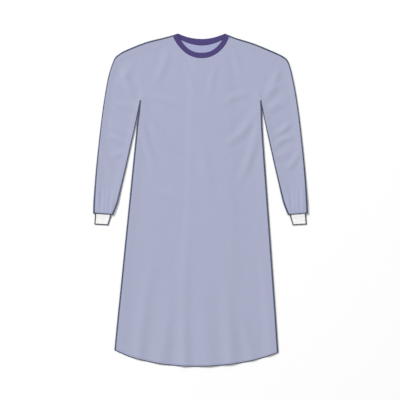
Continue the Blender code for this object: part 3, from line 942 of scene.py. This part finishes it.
class Nodes:
    """Short hand for building one material's nodes."""

    def __init__(self, name, roughness):
        self.material = bpy.data.materials.new(name)
        self.material.use_nodes = True
        self.tree = self.material.node_tree
        self.shader = self.tree.nodes["Principled BSDF"]
        self.shader.inputs["Roughness"].default_value = roughness
        self.place = self.add("ShaderNodeTexCoord").outputs["Object"]

    def add(self, kind, **settings):
        node = self.tree.nodes.new(kind)
        for key, value in settings.items():
            if key in node.inputs:
                node.inputs[key].default_value = value
            else:
                setattr(node, key, value)
        return node

    def join(self, output, socket):
        self.tree.links.new(output, socket)

    def noise(self, scale, detail, roughness=0.5):
        node = self.add("ShaderNodeTexNoise", Scale=scale, Detail=detail, Roughness=roughness)
        self.join(self.place, node.inputs["Vector"])
        return node.outputs["Fac"]

    def ramp(self, factor, colour, low, high, *shades):
        """The colour from one shade of it to another, as the factor goes from low to high."""
        node = self.add("ShaderNodeValToRGB")
        self.join(factor, node.inputs["Fac"])
        for element, position, shade in zip(node.color_ramp.elements, (low, high), shades):
            element.position = position
            element.color = (*[min(1.0, channel * shade) for channel in colour], 1.0)
        return node.outputs["Color"]

    def blend(self, first, second, factor):
        node = self.add("ShaderNodeMix", data_type="RGBA", blend_type="MIX")
        node.inputs["Factor"].default_value = factor
        self.join(first, node.inputs["A"])
        self.join(second, node.inputs["B"])
        return node.outputs["Result"]

    def maths(self, operation, first, second):
        node = self.add("ShaderNodeMath", operation=operation)
        for socket, value in zip(node.inputs, (first, second)):
            if isinstance(value, (int, float)):
                socket.default_value = value
            else:
                self.join(value, socket)
        return node.outputs["Value"]

    def bump(self, height, distance, strength, below=None):
        node = self.add("ShaderNodeBump", Distance=distance, Strength=strength)
        self.join(height, node.inputs["Height"])
        if below is not None:
            self.join(below, node.inputs["Normal"])
        return node.outputs["Normal"]

    def finish(self, colour, normal, sheen, specular):
        """Joins the colour and normal to the shader, and sets its sheen and specular level."""
        self.join(colour, self.shader.inputs["Base Color"])
        self.join(normal, self.shader.inputs["Normal"])
        self.shader.inputs["Sheen Weight"].default_value = sheen
        self.shader.inputs["Sheen Roughness"].default_value = SHEEN_ROUGHNESS
        self.shader.inputs["Specular IOR Level"].default_value = specular
        return self.material


def nonwoven(name, colour):
    """Point-bonded nonwoven: small pressed dots in rows, fine fibres and cloudy thickness."""
    m = Nodes(name, CLOTH_ROUGHNESS)
    separate = m.add("ShaderNodeSeparateXYZ")
    m.join(m.place, separate.inputs["Vector"])
    dots = []
    for axis in ("X", "Y"):
        turned = m.maths("MULTIPLY", separate.outputs[axis], 2.0 * math.pi / DOT_PITCH)
        dots.append(m.maths("SINE", turned, 0.0))
    dots = m.maths("MULTIPLY", dots[0], dots[1])
    dots = m.maths("MINIMUM", m.maths("MULTIPLY", dots, DOT_GAIN), DOT_TOP)
    dots = m.maths("MAXIMUM", dots, 0.0)
    fibres, cloud, patches = m.noise(*FIBRE), m.noise(*CLOUD), m.noise(*PATCH)
    base = m.ramp(cloud, colour, *CLOUD_RAMP)
    wide = m.ramp(patches, colour, *PATCH_RAMP)
    fine = m.ramp(fibres, colour, *FIBRE_RAMP)
    spots = m.ramp(dots, colour, *DOT_RAMP)
    shade = m.blend(m.blend(base, wide, PATCH_SHARE), fine, FIBRE_SHARE)
    shade = m.blend(shade, spots, DOT_SHARE)
    pressed = m.bump(m.maths("MULTIPLY", dots, -1.0), *DOT_BUMP, m.bump(cloud, *CLOUD_BUMP))
    return m.finish(shade, m.bump(fibres, *FIBRE_BUMP, pressed), *CLOTH_GLOSS)


def knit(name, colour, course, roughness, contrast):
    """Fine rib knit: V-shaped loops in courses along each rib, soft fluff and uneven yarn, with
    painted shade darkening the gaps between the loops.
    """
    m = Nodes(name, roughness)
    fluff, yarn = m.noise(*FLUFF), m.noise(*YARN)
    separate = m.add("ShaderNodeSeparateXYZ")
    kept = m.add("ShaderNodeAttribute", attribute_name=KNIT_PLACE)
    m.join(kept.outputs["Vector"], separate.inputs["Vector"])
    rib = separate.outputs["X"]
    beside = m.maths("ABSOLUTE", m.maths("SUBTRACT", rib, m.maths("ROUND", rib, 0.0)), 0.0)
    row = m.maths("MULTIPLY", separate.outputs["Y"], 1.0 / course)
    turned = m.maths("ADD", row, m.maths("MULTIPLY", beside, LOOP_SLANT))
    loops = m.maths("SINE", m.maths("MULTIPLY", turned, 2.0 * math.pi), 0.0)
    dark, light = 1.0 - contrast, 1.0 + contrast
    base = m.ramp(yarn, colour, *YARN_RANGE, dark, light)
    fine = m.ramp(fluff, colour, *FLUFF_RANGE, dark, light)
    # Painted shade: the colour is darkened in the gaps between the loops, where shade would fall
    gap_shade_tint = 1.0 - LOOP_GAP_SHADE * contrast
    loop_gap_shade = m.ramp(m.maths("ADD", loops, LOOP_LIFT), colour, 0.0, 1.0, gap_shade_tint, light)
    shade = m.blend(m.blend(base, fine, KNIT_SHARE), loop_gap_shade, KNIT_SHARE)
    return m.finish(shade, m.bump(fluff, *FLUFF_BUMP, m.bump(loops, *LOOP_BUMP)), *KNIT_GLOSS)


def thread(name, colour):
    """Twisted sewing thread."""
    m = Nodes(name, THREAD_ROUGHNESS)
    twist = m.noise(*TWIST)
    shade = m.ramp(twist, colour, *TWIST_RAMP)
    return m.finish(shade, m.bump(twist, *TWIST_BUMP), *THREAD_GLOSS)


def declare(piece, node):
    """A piece that stands for a solid."""
    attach(piece, "root")
    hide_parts(node)


def sew(name, bars, yarn):
    """Bars of thread as one piece on the cloth, in the given thread material."""
    piece = thread_mesh(name, bars, yarn)
    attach(piece, "root")
    return piece


# What each panel, sheet and layer is made from
SIDE = SHOULDER[0]
PANELS = {
    # height it lies at, whether it faces up, neck seam, first and last column, folded sides, creases
    "front": (front_underside, True, front_seam, -SIDE, SIDE, (-1, 1), FRONT_CREASES),
    "back_right": (inner_underside, False, back_seam, -SIDE, INNER_EDGE, (-1,), BACK_CREASES),
    "back_left": (floor_level, False, back_seam, OUTER_EDGE, SIDE, (1,), BACK_CREASES),
}


def reach_in(edge, inner):
    """Points a little further in over the flat cloth than a fold's edge."""
    return edge + unit(inner - edge) * OVERCAST_REACH


def round_fold(below, above):
    """Points round a fold, from below to above. Each face is given from its flat to the rim."""
    return np.stack([reach_in(below[1], below[0]), below[1], below[2],
                     0.5 * (below[3] + above[3]), above[2], above[1],
                     reach_in(above[1], above[0])], axis=1)


def side_section(front, back, side, rows):
    """Points round the side fold of two panels, from below to above, for each row."""
    turn = FOLD_STEPS // 2 + 1
    at = [FOLD_STEPS + 1, FOLD_STEPS, turn, 0]
    if side > 0:
        at = [-1 - number for number in at]
    return round_fold([back[:rows, number] for number in at],
                      [front[:rows, number] for number in at])


def shoulder_columns(face, side):
    """The columns of a panel that end on one shoulder, from the neck outwards."""
    outside = np.nonzero(side * face[-1][:, 0] >= NECK_HALF - LEAST_COLUMN_STEP)[0]
    return outside if side > 0 else outside[::-1]


def shoulder_section(front, back, side):
    """Points round a shoulder's fold, from below to above, for each column."""
    turn = FOLD_STEPS // 2 + 1
    rows = [-2 - FOLD_STEPS, -1 - FOLD_STEPS, -1 - turn, -1]
    return round_fold([back[row][shoulder_columns(back, side)] for row in rows],
                      [front[row][shoulder_columns(front, side)] for row in rows])


def build_panels(cloth, inside, yarn):
    """Front and back panels with their hems, free edges, side seams and shoulder seams."""
    faces = {}
    for name, (height, upper, seam, low, high, sides, creases) in PANELS.items():
        outer = panel_face(height, upper, seam, low, high, sides, 0.0, creases)
        inner = panel_face(height, upper, seam, low, high, sides, CLOTH, creases)
        faces[name] = outer
        piece = cloth_wall(name + "_cloth", outer, inner, False, cloth, inside)
        declare(piece, name)
        out = (0.0, 0.0, 1.0 if upper else -1.0)
        bars = running_stitches(outer[HEM_STITCH_ROW], out)
        with_pieces = [sew(name + "_hem_stitches", bars, yarn)]
        hem = slice(0, len(HEM_ROWS))
        below, above = (inner[hem], outer[hem]) if upper else (outer[hem], inner[hem])
        bars = overcast_stitches(edge_section(below, above, False))
        with_pieces.append(sew(name + "_hem_edge", bars, yarn))
        for edge, inset in ((low, OPENING_STITCH_INSET), (high, -OPENING_STITCH_INSET)):
            if abs(edge) < NECK_HALF:
                places = panel_columns(seam, low, high)[0]
                column = int(np.argmin(np.abs(places - edge - inset)))
                column += len(fold_line()) if -1 in sides else 0
                bars = running_stitches(outer[:, column], out)
                with_pieces.append(sew(name + "_opening_stitches", bars, yarn))
    seam_rows = int(np.argmin(np.abs(panel_levels() - ARMPIT[1]))) + 1
    for side_name, side, back in (("left", 1, "back_left"), ("right", -1, "back_right")):
        bars = overcast_stitches(side_section(faces["front"], faces[back], side, seam_rows))
        sew("side_seam_" + side_name, bars, yarn)
        bars = overcast_stitches(shoulder_section(faces["front"], faces[back], side))
        sew("shoulder_seam_" + side_name, bars, yarn)


def fold_section(rings, flat, sign_step):
    """Points round one fold of a sleeve, from below to above, for each ring."""
    turn = FOLD_STEPS // 2 + 1
    steps = (-FOLD_STEPS - 1, -FOLD_STEPS, -turn, 0, turn, FOLD_STEPS, FOLD_STEPS + 1)
    points = [rings[:, flat + sign_step * step] for step in steps]
    points[0] = reach_in(points[1], points[0])
    points[-1] = reach_in(points[-2], points[-1])
    return np.stack(points, axis=1)


def cuff_sections(rings):
    """Points round the two sides of a cuff, from below to above, for each of its rows."""
    sections = []
    for start, way in ((-1 - CUFF_TURN_POINTS, 1), (rings.shape[1] // 2, -1)):
        sections.append(rings[:, [start + way * step for step in CUFF_SEAM_STEPS]])
    return sections


def build_sleeves(cloth, inside, knitted, yarn):
    """Sleeves with their seams and hems, and the cuffs tucked into them."""
    for side, sign in (("left", 1), ("right", -1)):
        outer = sleeve_face(sign, 0.0)
        inner = sleeve_face(sign, CLOTH)
        piece = cloth_wall("sleeve_" + side + "_cloth", outer, inner, True, cloth, inside)
        declare(piece, "sleeve_" + side)
        over = SLEEVE_FLAT_POINTS + 2 * (FOLD_STEPS + 1)
        ring = outer[-1 - HEM_STITCH_ROW]
        bars = (running_stitches(ring[FOLD_STEPS:over - FOLD_STEPS], (0.0, 0.0, 1.0))
                + running_stitches(ring[over:], (0.0, 0.0, -1.0)))
        sewing = sew("sleeve_" + side + "_hem_stitches", bars, yarn)
        hem = slice(-1, -1 - len(HEM_ROWS), -1)
        bars = overcast_stitches(edge_section(inner[hem], outer[hem], True))
        edging = sew("sleeve_" + side + "_hem_edge", bars, yarn)
        for place, at, step in (("over", 0, 1), ("under", over - 1, -1)):
            bars = overcast_stitches(fold_section(outer, at, step))
            sew(place + "arm_seam_" + side, bars, yarn)
        outer, places = cuff_face(sign, 0.0)
        inner = cuff_face(sign, CLOTH)[0]
        band = cloth_wall("cuff_" + side + "_knit", outer, inner, True, knitted, None, places)
        declare(band, "cuff_" + side)
        smooth_face = cuff_face(sign, 0.0, False)[0]
        bars = overcast_stitches(edge_section(inner[::-1], smooth_face[::-1], True))
        edging = sew("cuff_edge_" + side, bars, yarn)
        bars = [bar for section in cuff_sections(smooth_face)
                for bar in overcast_stitches(section)]
        seams = sew("cuff_seams_" + side, bars, yarn)


def build_binding(knitted, yarn):
    """The binding with the stitches along its edges."""
    rows, places = binding_rows()
    piece = neck_binding(rows, places, knitted)
    declare(piece, "neck_binding")
    sewing = sew("neck_binding_stitches", binding_stitches(rows), yarn)


def build_stage():
    """Plain floor, even sky and two soft lamps turned to the gown's middle."""
    bpy.ops.mesh.primitive_plane_add(size=FLOOR_SIZE, location=(0.0, 0.0, -FLOOR_DROP))
    floor = bpy.context.object
    floor.name = "floor"
    paper = Nodes("floor_paper", FLOOR_ROUGHNESS)
    paper.shader.inputs["Base Color"].default_value = (*FLOOR_COLOUR, 1.0)
    floor.data.materials.append(paper.material)
    world = bpy.data.worlds.new("studio")
    world.use_nodes = True
    sky = world.node_tree.nodes["Background"]
    sky.inputs["Color"].default_value = (1.0, 1.0, 1.0, 1.0)
    sky.inputs["Strength"].default_value = WORLD_LIGHT
    bpy.context.scene.world = world
    for name, place, size, power in LIGHTS:
        data = bpy.data.lights.new(name, "AREA")
        data.shape = "DISK"
        data.size = size
        data.energy = power
        lamp = link(data)
        lamp.location = place
        lamp.rotation_euler = (-Vector(place)).to_track_quat("-Z", "Y").to_euler()
    bpy.context.scene.view_settings.view_transform = "Standard"


def build_camera():
    """The camera looks straight down."""
    data = bpy.data.cameras.new("camera")
    data.sensor_width = SENSOR_WIDTH
    data.lens = data.sensor_width * CAMERA_HEIGHT / PICTURE_WIDTH
    camera = link(data)
    camera.location = (*CAMERA_CENTRE, CAMERA_HEIGHT)
    bpy.context.scene.camera = camera


def build():
    cloth = nonwoven("nonwoven_outside", GOWN_COLOUR)
    inside = nonwoven("nonwoven_inside", INSIDE_COLOUR)
    yarn = thread("seam_thread", THREAD_COLOUR)
    build_panels(cloth, inside, yarn)
    cuff_rib = knit("cuff_rib", CUFF_COLOUR, CUFF_COURSE, CUFF_ROUGHNESS, CUFF_CONTRAST)
    build_sleeves(cloth, inside, cuff_rib, yarn)
    binding_rib = knit("binding_rib", BINDING_COLOUR, BINDING_COURSE, BINDING_ROUGHNESS,
                       BINDING_CONTRAST)
    build_binding(binding_rib, thread("binding_thread", BINDING_THREAD))
    build_stage()
    build_camera()


build()
